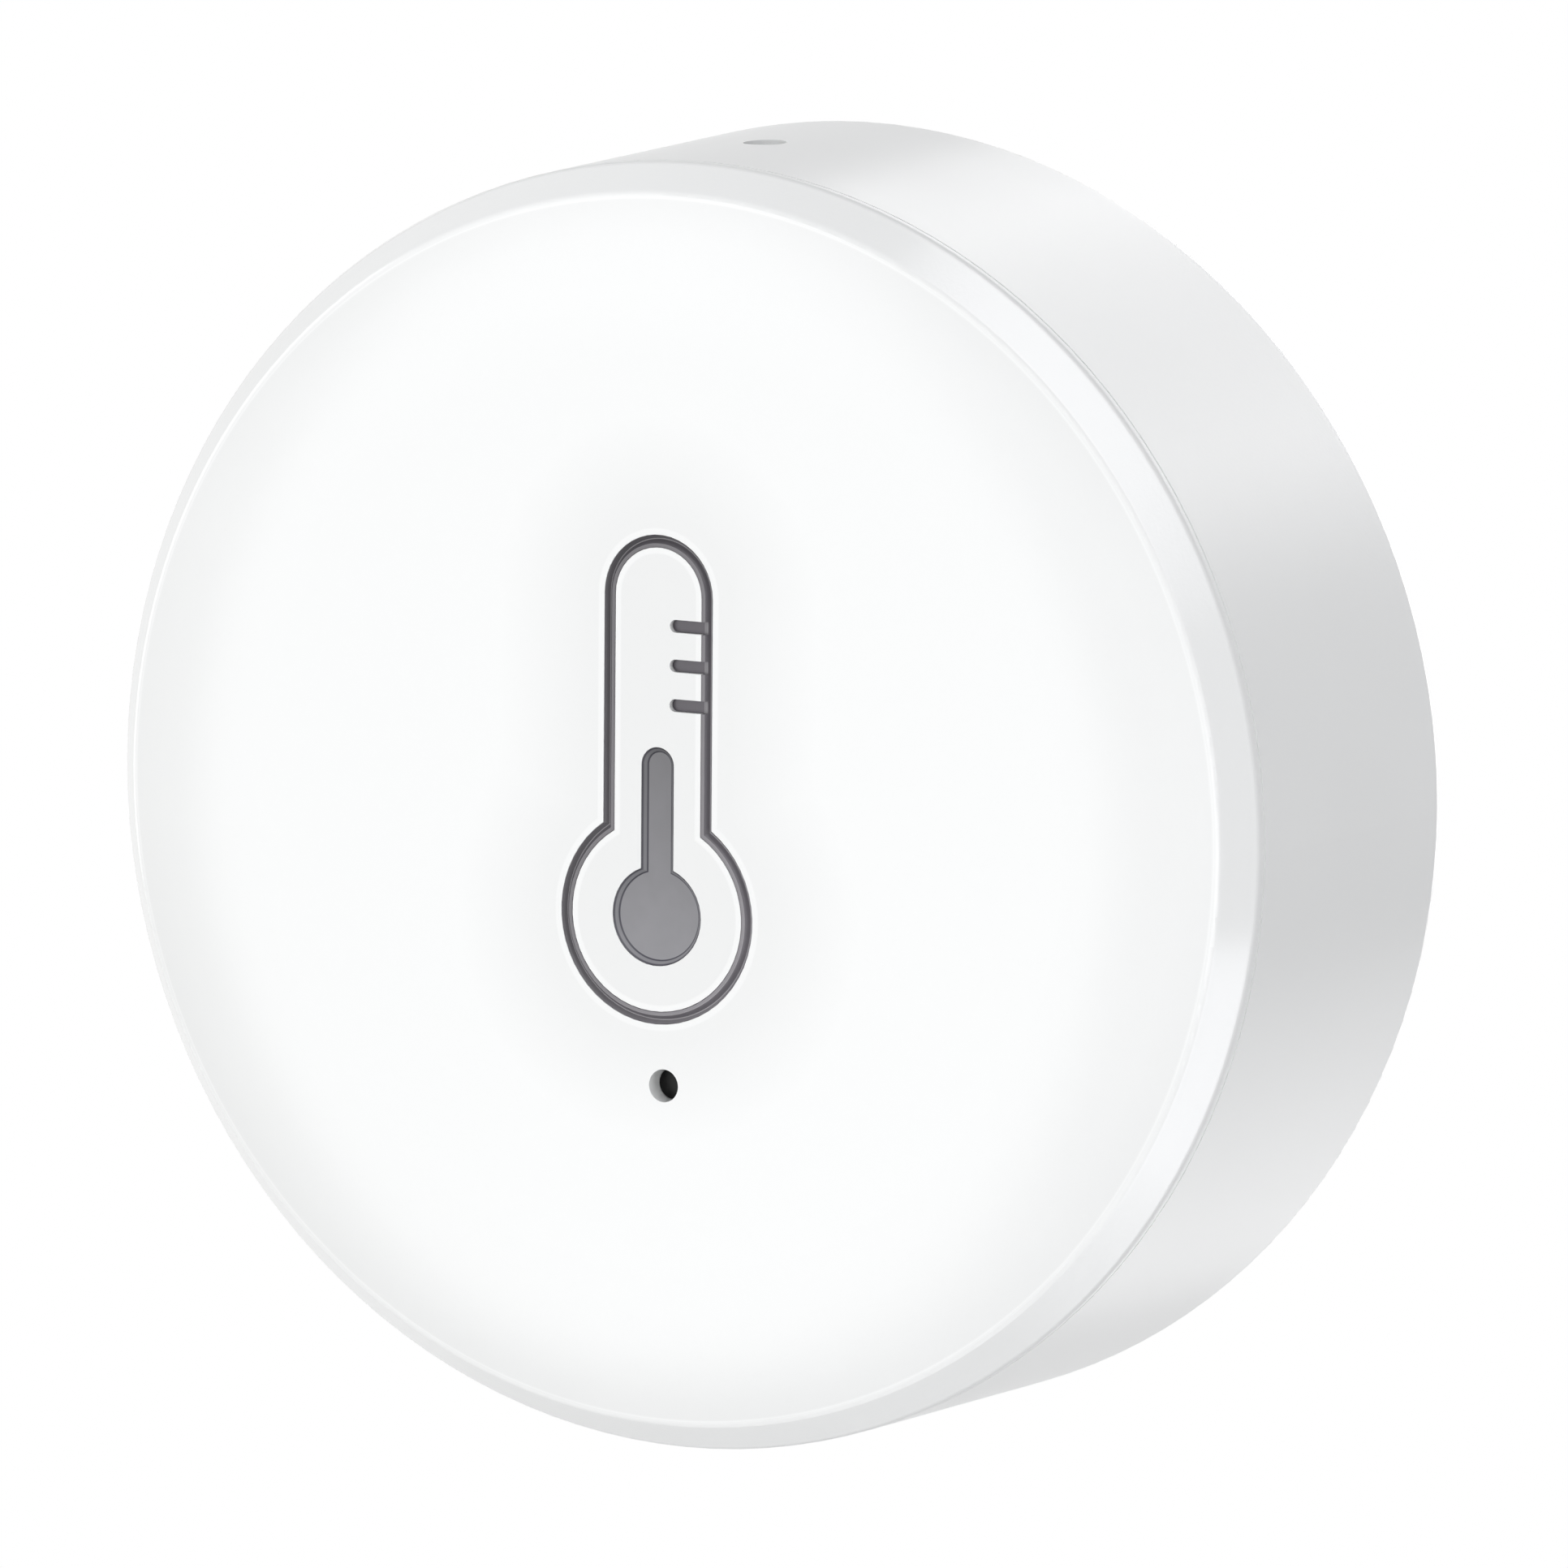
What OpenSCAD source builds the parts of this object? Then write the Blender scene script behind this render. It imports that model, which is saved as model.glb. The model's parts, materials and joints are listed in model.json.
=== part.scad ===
// Round wall sensor for the temperature and humidity of the air.
// Shapes are drawn as seen from the front: x to the right, y up the face and z away from the wall.
// upright() then stands them up, so that the wall is the plane y = 0 and the face looks along -Y.

/* [Body] */
// Outer diameter of the housing and the cover
body_d = 65; // [64.5:0.5:66]
// Thickness of the housing's side wall
wall_t = 1.8; // [1.7:0.1:2]
// Length of the straight side, from the rear edge to the front rim
side_len = 19.1; // [19:0.1:20]
// Gap between the wall and the housing's rear edge
wall_gap = 0.5; // [0.4:0.1:0.7]
// Rounding of the housing's rear edge
rear_round = 0.5; // [0.3:0.1:0.7]
// Width of the ledge inside the housing that the chassis sits on
ledge_w = 1.1; // [0.9:0.1:1.2]
// Thickness of that ledge
ledge_t = 0.9; // [0.7:0.1:1]

/* [Front cover] */
// Width of the sloping band around the face
band_w = 1.4; // [1.2:0.1:1.6]
// Depth of the sloping band
band_depth = 1.75; // [1.55:0.05:1.95]
// Rise of the face's flat middle above its edge
crown_h = 1.5; // [1.3:0.1:1.7]
// Width of the curved border between the flat middle and the edge
crown_w = 8; // [7:0.5:8]
// Rounding between the face and the band
face_round = 0.5; // [0.3:0.1:0.6]
// Rounding of the outer rim
rim_round = 0.5; // [0.3:0.1:0.6]
// Straight lip behind the rim, up to the seam
lip_len = 0.55; // [0.5:0.05:0.7]
// Bevel of the lip at the seam
seam_bevel = 0.12; // [0.08:0.02:0.16]
// Thickness of the cover at its flat middle
cover_t = 2.4; // [2.2:0.1:2.6]
// Thickness of the spigot that goes into the housing
spigot_t = 1.6; // [1.4:0.1:1.8]
// Height of the snap bead on the spigot
bead_h = 0.5; // [0.4:0.05:0.6]
// Distance from the seam to the snap bead
bead_drop = 1.4; // [1.2:0.1:1.6]

/* [Thermometer mark] */
// Outer width of the thermometer's tube
tube_w = 6.2; // [6:0.1:6.4]
// Height of the middle of the tube's round top
tube_top = 11; // [10.6:0.1:11.2]
// Width of the outline's groove
line_w = 0.65; // [0.6:0.05:0.75]
// Width of the slope on each side of the groove
line_bevel = 0.2; // [0.15:0.05:0.25]
// Outer diameter of the bulb's ring
bulb_d = 10.95; // [10.6:0.05:11.2]
// Height of the bulb's middle
bulb_y = -5.15; // [-5.4:0.05:-5]
// Length of a tick, from the tube's inner edge to its tip
tick_len = 1.8; // [1.6:0.1:2]
// Thickness of a tick
tick_t = 0.65; // [0.6:0.05:0.7]
// Height of the upper tick
tick_top = 9.55; // [9.4:0.05:9.7]
// Distance from tick to tick
tick_pitch = 2; // [1.9:0.05:2.1]
// Width of the stem
stem_w = 1.86; // [1.7:0.02:2]
// Height of the middle of the stem's round top
stem_top = 2.45; // [2.2:0.05:2.7]
// Diameter of the solid bulb
drop_d = 5.06; // [4.8:0.02:5.3]
// Width of the slope around the stem and the solid bulb
drop_bevel = 0.28; // [0.2:0.02:0.32]
// Depth of the pockets that hold the inlays
pocket_depth = 0.6; // [0.5:0.05:0.7]
// Depth of the inlays' sunk floor below the face
sunk_depth = 0.28; // [0.2:0.02:0.32]

/* [Status light] */
// Sideways place of the light
light_x = 0.45; // [0:0.05:0.6]
// Height of the light
light_y = -13.7; // [-14:0.1:-13.4]
// Diameter of the light's hole in the face
light_d = 1.66; // [1.5:0.02:1.8]
// Depth of the light pipe's end below the face
light_sunk = 1; // [0.8:0.1:1.2]
// Diameter of the light pipe's flange
flange_d = 4; // [3.6:0.1:4.4]
// Thickness of the flange
flange_t = 0.8; // [0.6:0.1:1]
// Diameter of the light pipe below the flange
stub_d = 2; // [1.8:0.1:2.2]

/* [Cells] */
// Diameter of a cell
cell_d = 10.5; // [10.4:0.1:10.5]
// Length of a cell with its pip
cell_len = 44.5; // [44:0.1:44.5]
// Diameter of the pip
pip_d = 3.8; // [3.4:0.1:3.8]
// Height of the pip
pip_h = 1; // [0.8:0.1:1.1]
// Bevel of the cell's ends
cell_bevel = 0.4; // [0.3:0.1:0.5]
// Gap between the two cells
cell_space = 0.7; // [0.6:0.1:0.8]

/* [Contacts] */
// Thickness of the contact sheet
sheet_t = 0.4; // [0.3:0.05:0.45]
// Width of a contact plate
contact_w = 8.4; // [8:0.1:8.6]
// Depth of a contact plate
contact_len = 8; // [7.6:0.1:8.2]
// Height of the dimple that meets a pip
dimple_h = 0.9; // [0.8:0.05:1]
// Diameter of the dimple's foot
dimple_d = 4.4; // [4:0.1:4.8]
// Diameter of the dimple's top
dimple_top_d = 3; // [2.6:0.1:3.4]
// Width of a solder tab
tab_w = 2; // [1.8:0.1:2.4]
// Distance that a solder tab stands in from its plate
tab_in = 1.5; // [1.2:0.1:1.5]
// Length of the solder tab past the board
tab_out = 0.5; // [0.4:0.1:0.8]
// Length of a spring between plate and cell
spring_len = 3.8; // [3.7:0.05:4]
// Thickness of the spring's wire
wire_d = 0.6; // [0.5:0.05:0.6]
// Diameter of the coil at the plate, wire middle to wire middle
coil_d = 6.2; // [6:0.1:6.4]
// Diameter of the coil at the cell, wire middle to wire middle
coil_top_d = 3.4; // [3.2:0.1:3.6]
// Turns of the coil
coil_turns = 3; // [2.5:0.5:3]

/* [Chassis] */
// Thickness of the deck between the cells and the board
deck_t = 0.8; // [0.7:0.1:1]
// Thickness of the bay's walls
bay_wall = 1; // [0.8:0.1:1]
// Depth of the bay's long walls, from the deck
bay_side_depth = 7.5; // [6.5:0.5:8]
// Sideways place of the two saddles under the cells
saddle_x = 13; // [11:1:15]
// Width of a saddle
saddle_w = 2; // [1.6:0.2:2.4]
// Height of a saddle above the deck
saddle_h = 4.2; // [3.6:0.2:4.6]
// Height of the ribs that hold the contact plates
rib_t = 0.8; // [0.6:0.1:1]
// Diameter of a screw post
post_d = 5; // [4.8:0.1:5.4]
// Thickness of a screw post behind the screw's end
post_floor = 0.8; // [0.6:0.1:1]
// Height of the pads that the board lies on
pad_rise = 0.5; // [0.4:0.1:0.6]
// Distance from the board's edge to the screws
post_in = 3.5; // [3.3:0.1:3.7]
// Angle of the upper screws above the middle
post_at = 46.5; // [46:0.5:48]
// Angle of the lower screws below the middle
low_post_at = 55; // [54:0.5:56]

/* [Board and its parts] */
// Thickness of the main board
board_t = 1.2; // [1:0.1:1.4]
// Diameter of the screws' thread
screw_d = 1.9; // [1.8:0.1:2]
// Length of the screws' thread
screw_len = 6; // [5:0.5:6]
// Diameter of the screws' head
head_d = 3.8; // [3.6:0.1:4]
// Height of the screws' head
head_h = 1.4; // [1.3:0.1:1.6]
// Width of the cross in the screws' head
cross_w = 0.6; // [0.5:0.05:0.7]
// Length of the cross in the screws' head
cross_len = 2.2; // [2:0.1:2.4]
// Depth of the cross in the screws' head
cross_depth = 0.7; // [0.6:0.05:0.8]
// Width of the radio module
radio_w = 16; // [15:0.5:18]
// Height of the radio module
radio_h = 22; // [20:0.5:22]
// Thickness of the radio module
radio_t = 0.8; // [0.6:0.1:1]
// Height of the radio module's middle
radio_y = 9; // [8:0.5:9]
// Distance from pad to pad along the radio module's edges
radio_pitch = 2; // [1.8:0.1:2.2]
// Diameter of the half round pads along the radio module's edges
radio_pad_d = 0.9; // [0.7:0.1:1]
// Width of the shield can
shield_w = 13; // [12:0.5:14]
// Height of the shield can
shield_h = 15; // [14:0.5:15]
// Depth of the shield can
shield_depth = 2.2; // [1.8:0.1:2.4]
// Distance from the radio module's lower edge to the shield can
shield_in = 0.6; // [0.4:0.1:1]
// Thickness of the shield's sheet
shield_t = 0.2; // [0.2:0.05:0.3]
// Width of the control chip, across and up
chip_w = 7; // [6:0.5:7]
// Thickness of the control chip
chip_t = 1; // [0.8:0.1:1.4]
// Sideways place of the control chip
chip_x = 16; // [15:0.5:17]
// Height of the control chip's middle
chip_y = 2; // [1.5:0.5:3]
// Diameter of the dot in the control chip's corner
chip_dot_d = 0.9; // [0.7:0.1:1.1]
// Distance of the dot from the chip's edges
chip_dot_in = 1.1; // [1:0.1:1.4]
// Depth of the dot
chip_dot_depth = 0.1; // [0.08:0.01:0.14]
// Width of the crystal
crystal_w = 3.2; // [2.5:0.1:4]
// Height of the crystal
crystal_h = 2.5; // [2:0.1:3]
// Thickness of the crystal
crystal_t = 0.8; // [0.6:0.1:1]
// Distance from the control chip to the crystal
crystal_drop = 3; // [2.5:0.5:4]
// Width of a small chip part
small_w = 0.8; // [0.6:0.1:1]
// Height of a small chip part
small_h = 1.6; // [1.2:0.1:2]
// Thickness of a small chip part
small_t = 0.8; // [0.4:0.1:1]
// Sideways place of the first small chip part
small_x = -21; // [-22:0.5:-20]
// Height of the row of small chip parts
small_y = 1; // [0.5:0.5:2]
// Distance between small chip parts
small_pitch = 2; // [1.6:0.2:2]
// Number of small chip parts in their row
small_count = 5; // [3:1:5]
// Width of a large chip part
large_w = 3.2; // [2.8:0.1:3.6]
// Height of a large chip part
large_h = 1.6; // [1.4:0.1:2]
// Thickness of a large chip part
large_t = 1.3; // [1:0.1:1.6]
// Sideways place of the large chip parts
large_x = -16; // [-17:0.5:-15]
// Height of the first large chip part
large_y = -4; // [-4.5:0.5:-3.5]
// Distance between large chip parts
large_pitch = 3; // [2.6:0.2:3.4]
// Number of large chip parts in their row
large_count = 3; // [2:1:3]
// Width of the status light's base
led_w = 2; // [1.6:0.1:2.4]
// Height of the status light's base
led_h = 1.2; // [1:0.1:1.4]
// Thickness of the status light's base
led_t = 0.4; // [0.3:0.05:0.5]
// Width of the status light's lens
lens_w = 1.2; // [1:0.1:1.4]
// Height of the lens above the status light's base
lens_h = 0.4; // [0.3:0.05:0.5]

/* [Sensing chip and air slots] */
// Width of the sensing chip, across and up
sense_w = 2.5; // [2:0.1:3]
// Thickness of the sensing chip
sense_t = 0.9; // [0.7:0.1:1.1]
// Distance from the board's lower edge to the sensing chip's middle
sense_in = 3.3; // [3:0.1:3.6]
// Diameter of the sensing chip's own opening
sense_d = 1; // [0.8:0.1:1.2]
// Depth of that opening
sense_depth = 0.3; // [0.2:0.05:0.4]
// Half the width of the board's tongue that carries the sensing chip
tongue_w = 4; // [3.6:0.2:4.4]
// Distance from the sensing chip's middle to the end of the tongue
tongue_len = 5; // [4.5:0.5:5.5]
// Width of the slots around the tongue
tongue_slot = 0.8; // [0.7:0.1:1]
// Half the width of the deck's window behind the tongue
window_w = 6; // [5.6:0.2:6.4]
// Height of the deck's window
window_h = 7; // [6.6:0.2:7.2]
// Number of air slots under the housing
vent_count = 5; // [3:2:5]
// Width of an air slot
vent_w = 1.2; // [1:0.1:1.4]
// Length of an air slot
vent_len = 4; // [3.5:0.5:4.5]
// Distance between air slots
vent_pitch = 2.4; // [2.2:0.1:2.6]
// Distance from the ledge to the air slots
vent_drop = 0.9; // [0.7:0.1:1.2]

/* [Reset switch] */
// Diameter of the reset hole
reset_d = 2.2; // [2:0.1:2.4]
// Place of the reset hole across the body, to the right of its middle
reset_x = -0.85; // [-1:0.05:1]
// Distance from the board to the switch's axis
switch_rise = 4.2; // [4.1:0.1:4.3]
// Width of the switch, across and in depth
switch_w = 6; // [5.8:0.1:6.2]
// Height of the switch's base
switch_h = 3.4; // [3.2:0.1:3.6]
// Diameter of the cavity in the switch's base
cavity_d = 5; // [4.8:0.1:5.2]
// Thickness of the switch's lid and bracket
lid_t = 0.3; // [0.2:0.05:0.3]
// Diameter of the plunger's stem
stem_d = 3.2; // [3:0.1:3.4]
// Height of the plunger's stem above the switch's lid
stem_out = 3.5; // [3.2:0.1:3.7]
// Thickness of the plunger's collar
collar_t = 0.85; // [0.8:0.05:0.9]
// Travel of the plunger
press_travel = 0.25; // [0.2:0.01:0.3]
// Diameter of the snap dome
dome_d = 4.6; // [4.4:0.1:4.7]
// Thickness of the snap dome
dome_t = 0.12; // [0.1:0.01:0.15]
// Height of the bracket's side plates
cheek_h = 2.8; // [2.4:0.1:3]
// Width of the bracket's feet on the board
foot_w = 1.2; // [1:0.1:1.3]

/* [Wall plate and pad] */
// Thickness of the adhesive pad
pad_t = 0.8; // [0.7:0.1:1]
// Diameter of the adhesive pad
pad_d = 33; // [30:1:34]
// Thickness of the wall plate
plate_t = 1.8; // [1.6:0.1:2]
// Distance between the two screw holes, one above the other
hole_pitch = 40; // [40:0.5:42]
// Diameter of the screw holes
hole_d = 4.2; // [3.8:0.1:4.5]
// Thickness of the fingers that hold the housing
finger_t = 1.3; // [1.2:0.1:1.4]
// Length of the fingers
finger_len = 4.4; // [4:0.1:5]
// Angle that one finger covers
finger_arc = 24; // [20:1:26]
// Angle of the first finger from the horizontal
finger_at = 52; // [50:1:54]
// Height of the two ribs beside the upper left finger
key_h = 1.2; // [1:0.1:1.3]
// Angle that one rib covers
key_arc = 3; // [2:1:4]
// Length of the ribs
key_len = 5; // [4:0.5:6]

/* [Clearances] */
// Gap between the plate's fingers and the housing
slide_gap = 0.2; // [0.15:0.05:0.3]
// Gap between the plate's edge and the housing
edge_gap = 0.35; // [0.3:0.05:0.4]
// Gap between parts that are fitted once and stay
fit_gap = 0.1; // [0.05:0.05:0.15]
// Gap between an inlay and its pocket
inlay_gap = 0.02; // [0.01:0.01:0.03]
// Gap between the cells and what is around them
cell_gap = 0.15; // [0.1:0.05:0.2]
// Gap between the cells and the wall plate
plate_gap = 0.35; // [0.3:0.05:0.45]
// Gap between the bay's end walls and the wall plate
bay_gap = 0.8; // [0.6:0.1:1.2]
// Gap between the plunger and the switch
press_gap = 0.1; // [0.05:0.01:0.12]
// Gap between the plunger's tip and the housing's wall
tip_gap = 0.8; // [0.6:0.1:1]
// Gap between the board's edge and the spigot
board_gap = 0.7; // [0.5:0.1:0.9]
// Gap between the light pipe and the status light
light_gap = 0.2; // [0.1:0.05:0.3]
// Angle between the key ribs and their finger
key_gap = 0.6; // [0.5:0.1:1]

/* [Hidden] */
$fn = 128;

// Overlap that lets a cut run clear of the faces it opens
cut = 1;
// Overlap that joins shapes of one piece
join = 0.2;
// Reach of a corner cut past the corner
corner_reach = 1.5;
// Sides of a coil's wire
wire_sides = 6;
// Rings of a coil in one turn
coil_rings = 8;

body_r = body_d / 2;
bore_r = body_r - wall_t;
ledge_r = bore_r - ledge_w;
rim_z = wall_gap + side_len;
seam_z = rim_z - lip_len;
edge_z = rim_z + band_depth;
face_z = edge_z + crown_h;
inner_z = face_z - cover_t;
face_r = body_r - band_w;
flat_r = face_r - crown_w;
crown_r = (pow(crown_w, 2) + pow(crown_h, 2)) / (2 * crown_h);
crown_c = [flat_r, face_z - crown_r];

// Direction down the sloping band, and the way out of it
band_len = norm([band_w, band_depth]);
band_dir = [band_w, -band_depth] / band_len;
band_out = [band_depth, band_w] / band_len;

// Middle of the rounding between the face and the band, which touches both
face_corner = [face_r, edge_z];
corner_from = face_corner - face_round * band_out - crown_c;
corner_mid = corner_from * band_dir;
corner_gap = corner_from * corner_from - pow(crown_r - face_round, 2);
corner_run = -corner_mid - sqrt(pow(corner_mid, 2) - corner_gap);
face_round_c = crown_c + corner_from + corner_run * band_dir;
face_touch = crown_c + (face_round_c - crown_c) * crown_r / (crown_r - face_round);

// Middle of the rounding between the band and the straight side
rim_corner = [body_r, rim_z];
rim_round_c = rim_corner - rim_round * [1, (1 - band_out[0]) / band_out[1]];

// Depths of the inner parts, from the wall
plate_front = pad_t + plate_t;
cell_z = plate_front + plate_gap + cell_d / 2;
deck_z = cell_z + cell_d / 2 + cell_gap;
deck_front = deck_z + deck_t;
board_z = deck_front + pad_rise;
board_front = board_z + board_t;
reset_z = board_z - switch_rise;
bead_z = seam_z - bead_drop;

// Radii of the fitted rings
deck_r = bore_r - fit_gap;
spigot_r = bore_r - fit_gap;
spigot_in_r = spigot_r - spigot_t;
board_r = spigot_in_r - board_gap;
plate_r = bore_r - edge_gap;
finger_r = bore_r - slide_gap;

// Cell bay
cell_r = cell_d / 2;
cell_y = (cell_d + cell_space) / 2;
bay_half = cell_len / 2 + (spring_len + dimple_h + 2 * sheet_t) / 2;
bay_half_h = cell_y + cell_r + cell_gap;
bay_r = finger_r - finger_t - edge_gap;
contact_x = bay_half - sheet_t;
tab_x = contact_x + sheet_t / 2 - tab_in;
pip_x = contact_x - dimple_h;
cell_foot_x = pip_x - cell_len;
contact_rear = deck_z - fit_gap - contact_len;
bay_depth = deck_z - plate_front - bay_gap;
pilot_d = screw_d + fit_gap;
post_len = screw_len + post_floor - deck_t - pad_rise;
post_r = board_r - post_in;
posts = [
  for (angle = [post_at, 180 - post_at, 180 + low_post_at, -low_post_at])
    post_r * [cos(angle), sin(angle)]
];

// Reset switch, along the height of the body, with a dome twice as high as its travel
stem_tip_y = bore_r - tip_gap;
switch_top = stem_tip_y - stem_out - lid_t;
switch_y = switch_top - switch_h;
collar_y = switch_top - press_gap - collar_t;
dome_h = 2 * press_travel;
dome_r = (pow(dome_d / 2, 2) + pow(dome_h, 2)) / (2 * dome_h);
cavity_y = collar_y - inlay_gap - dome_h;
bracket_x = switch_w / 2 + fit_gap;

// Sensing chip at the lower edge of the board, and the air slots below it
sense_y = sense_in - board_r;
vent_z = deck_z - ledge_t - vent_drop - vent_len;

plastic = [0.95, 0.95, 0.95];
inner_plastic = [0.2, 0.2, 0.22];
dark_grey = [0.33, 0.33, 0.35];
mid_grey = [0.57, 0.57, 0.59];
smoked = [0.08, 0.08, 0.09];
foam = [0.85, 0.85, 0.83];
board_green = [0.05, 0.3, 0.16];
chip_black = [0.09, 0.09, 0.1];
sheet_metal = [0.78, 0.78, 0.8];
part_tan = [0.7, 0.58, 0.42];
lens_clear = [0.9, 0.92, 0.88];
sensor_white = [0.9, 0.9, 0.9];
cell_coat = [0.12, 0.32, 0.42];

function away(centre, point) = centre + corner_reach * (point - centre);

// Stands a shape drawn from the front up against the wall plane
module upright() {
  rotate([90, 0, 0]) children();
}

// Turns a shape drawn along z so that it runs along x
module along_x() {
  rotate([0, 90, 0]) children();
}

// Turns a shape drawn along z so that it runs up the face
module along_y() {
  rotate([-90, 0, 0]) children();
}

// A box centred on x and y that starts at z = 0
module slab(size) {
  translate([-size[0] / 2, -size[1] / 2, 0]) cube(size);
}

// Rounds one outer corner of a flat shape
module round_corner(centre, corner, first, last, radius) {
  difference() {
    children();
    polygon([centre, away(centre, first), away(centre, corner), away(centre, last)]);
  }
  intersection() {
    children();
    translate(centre) circle(r = radius);
  }
}

// Outline of the cover, from its middle outwards, without its roundings
module cover_blank() {
  polygon([
    [0, inner_z],
    [spigot_in_r, inner_z],
    [spigot_in_r, deck_front],
    [spigot_r, deck_front],
    [spigot_r, bead_z - bead_h],
    [spigot_r + bead_h, bead_z],
    [spigot_r, bead_z + bead_h],
    [spigot_r, seam_z],
    [body_r - seam_bevel, seam_z],
    [body_r, seam_z + seam_bevel],
    rim_corner,
    face_corner,
    [flat_r, face_z],
    [0, face_z]
  ]);
  intersection() {
    translate(crown_c) circle(r = crown_r);
    translate([flat_r, edge_z]) square([crown_w, crown_h]);
  }
}

module cover_outline() {
  rim_touch = rim_round_c + rim_round * band_out;
  rim_side = rim_round_c + [rim_round, 0];
  round_corner(rim_round_c, rim_corner, rim_touch, rim_side, rim_round)
    round_corner(
      face_round_c, face_corner, face_touch, face_round_c + face_round * band_out, face_round
    )
      cover_blank();
}

// A tube with a round top that stands on a round bulb, as a flat shape
module thermometer(tube, top, bulb) {
  translate([-tube / 2, bulb_y]) square([tube, top - bulb_y]);
  translate([0, top]) circle(d = tube);
  translate([0, bulb_y]) circle(d = bulb);
}

// The same shape with sloping sides: it is slope wider at its top than at its foot on every side
module sloped_thermometer(tube, top, bulb, slope) {
  translate([0, top, 0]) along_tube(tube, bulb_y - top, slope);
  translate([0, top, 0]) cylinder(d1 = tube - 2 * slope, d2 = tube, h = sunk_depth);
  translate([0, bulb_y, 0]) cylinder(d1 = bulb - 2 * slope, d2 = bulb, h = sunk_depth);
}

// A bar with sloping sides that runs up the face
module along_tube(width, length, slope) {
  rotate([90, 0, 0])
    linear_extrude(height = -length)
      polygon([
        [slope - width / 2, 0],
        [width / 2 - slope, 0],
        [width / 2, sunk_depth],
        [-width / 2, sunk_depth]
      ]);
}

module tick(shrink) {
  length = tick_len - tick_t / 2;
  translate([-length, shrink - tick_t / 2]) square([length + line_w / 2, tick_t - 2 * shrink]);
  translate([-length, 0]) circle(d = tick_t - 2 * shrink);
}

module ticks(shrink) {
  for (i = [0 : 2])
    translate([tube_w / 2 - line_w, tick_top - i * tick_pitch]) tick(shrink);
}

// Flat shape of the thermometer's outline, each side drawn in by shrink
module outline_shape(shrink) {
  difference() {
    thermometer(tube_w - 2 * shrink, tube_top, bulb_d - 2 * shrink);
    thermometer(
      tube_w - 2 * (line_w - shrink), tube_top, bulb_d - 2 * (line_w - shrink)
    );
  }
  ticks(shrink);
}

module drop_shape(shrink) {
  thermometer(stem_w - 2 * shrink, stem_top, drop_d - 2 * shrink);
}

// Places a cut on the face so that it ends at the face
module on_face(depth) {
  translate([0, 0, face_z - depth]) children();
}

module front_cover() {
  color(plastic)
    upright()
      difference() {
        rotate_extrude() cover_outline();
        on_face(pocket_depth) linear_extrude(height = pocket_depth + cut) outline_shape(0);
        on_face(pocket_depth) linear_extrude(height = pocket_depth + cut) drop_shape(0);
        translate([light_x, light_y, inner_z - cut]) cylinder(d = light_d, h = cover_t + 2 * cut);
      }
}

module icon_outline() {
  inner_tube = tube_w - 2 * line_w;
  inner_bulb = bulb_d - 2 * line_w;
  color(dark_grey)
    upright()
      difference() {
        on_face(pocket_depth) linear_extrude(height = pocket_depth) outline_shape(inlay_gap);
        on_face(sunk_depth)
          difference() {
            sloped_thermometer(tube_w, tube_top, bulb_d, line_bevel);
            sloped_thermometer(
              inner_tube + 2 * line_bevel, tube_top, inner_bulb + 2 * line_bevel, -line_bevel
            );
          }
        on_face(sunk_depth) linear_extrude(height = sunk_depth + cut) ticks(0);
      }
}

module icon_fluid() {
  color(mid_grey)
    upright()
      difference() {
        on_face(pocket_depth) linear_extrude(height = pocket_depth) drop_shape(inlay_gap);
        on_face(sunk_depth) sloped_thermometer(stem_w, stem_top, drop_d, drop_bevel);
      }
}

module light_pipe() {
  pipe_d = light_d - fit_gap;
  stub_z = board_front + led_t + lens_h + light_gap;
  color(smoked)
    upright()
      translate([light_x, light_y, 0]) {
        translate([0, 0, inner_z - join]) cylinder(d = pipe_d, h = cover_t - light_sunk + join);
        translate([0, 0, inner_z - flange_t]) cylinder(d = flange_d, h = flange_t);
        translate([0, 0, stub_z]) cylinder(d = stub_d, h = inner_z - join - stub_z);
      }
}

module housing_outline() {
  corner = [body_r, wall_gap];
  centre = corner + rear_round * [-1, 1];
  round_corner(centre, corner, centre + [rear_round, 0], centre - [0, rear_round], rear_round)
    polygon([
      [bore_r, wall_gap],
      corner,
      [body_r, seam_z],
      [bore_r, seam_z],
      [bore_r, bead_z + bead_h + fit_gap],
      [bore_r + bead_h, bead_z],
      [bore_r, bead_z - bead_h - fit_gap],
      [bore_r, deck_z],
      [ledge_r, deck_z],
      [ledge_r, deck_z - ledge_t],
      [bore_r, deck_z - ledge_t]
    ]);
}

// A rib inside the housing, from an angle on
module key_rib(from) {
  rotate([0, 0, from])
    rotate_extrude(angle = key_arc)
      translate([bore_r - key_h, plate_front + edge_gap]) square([key_h + join, key_len]);
}

module housing() {
  key_at = 180 - finger_at;
  reach = finger_arc / 2 + key_gap;
  color(plastic)
    upright()
      difference() {
        union() {
          rotate_extrude() housing_outline();
          key_rib(key_at + reach);
          key_rib(key_at - reach - key_arc);
        }
        translate([reset_x, ledge_r - cut, reset_z])
          along_y() cylinder(d = reset_d, h = body_r - ledge_r + 2 * cut);
        for (i = [0 : vent_count - 1])
          translate([(i - (vent_count - 1) / 2) * vent_pitch, -bore_r, vent_z])
            slab([vent_w, 2 * (wall_t + cut), vent_len]);
      }
}

module finger() {
  rotate([0, 0, -finger_arc / 2])
    rotate_extrude(angle = finger_arc)
      translate([finger_r - finger_t, plate_front - join]) square([finger_t, finger_len + join]);
}

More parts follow.
